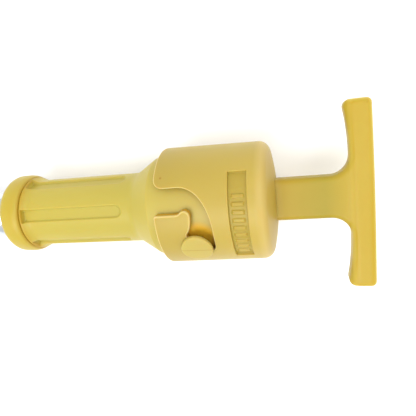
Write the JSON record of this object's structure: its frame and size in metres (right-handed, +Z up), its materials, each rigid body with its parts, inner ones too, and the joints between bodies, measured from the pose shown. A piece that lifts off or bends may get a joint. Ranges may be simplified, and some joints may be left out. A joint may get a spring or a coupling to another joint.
{
  "type": "engine oil dipstick",
  "caption": "Engine oil dipstick: T-handle bayonet cap with sprung seal, locked on the fluted head of a steel guide tube, with rod and marked blade.",
  "frame": {"origin": "bottom centre of the bounding box, on the surface that the part lies on", "axes": "+X along the stick's length towards the T-handle, +Z up, with the T-bar lying along Y. The stick's own axis rises 2.8 degrees towards +X, as it lies on the cap's skirt and the tube's end"},
  "size_m": [0.4268, 0.0684, 0.0472],
  "materials": {
    "cap_plastic": "satin moulded, yellow",
    "head_plastic": "satin moulded, paler yellow",
    "plated_steel": "bright plated",
    "spring_steel": "plain",
    "blade_steel": "rolled",
    "rubber": "matt black"
  },
  "bodies": {
    "tube_side": {"tube_head": "head_plastic", "guide_tube": "plated_steel", "tube_oring": "rubber"},
    "seal_group": {"seal_plate": "plated_steel", "mouth_seal": "rubber"},
    "handle_group": {"handle_cap": "cap_plastic", "seal_spring": "spring_steel", "plate_clip": "spring_steel", "stick_ferrule": "plated_steel", "ferrule_pin": "spring_steel", "stick_rod": "plated_steel", "blade": "blade_steel", "blade_rivets": "plated_steel"}
  },
  "joints": [
    {"name": "bayonet_turn", "type": "hinge", "parent": "tube_side", "child": "seal_group", "pos_m": [0.13617, 0, 0.02294], "axis": [0.9988, 0, 0.0494], "range_deg": [0, 36]},
    {"name": "bayonet_push", "type": "slide", "parent": "seal_group", "child": "handle_group", "axis": [-0.9988, 0, -0.0494], "range_m": [0, 0.0019], "deforming": ["seal_spring"]}
  ],
  "couplings": [
    {"joint": "bayonet_turn", "follows": "bayonet_push", "rad_per_m": 330.69}
  ]
}
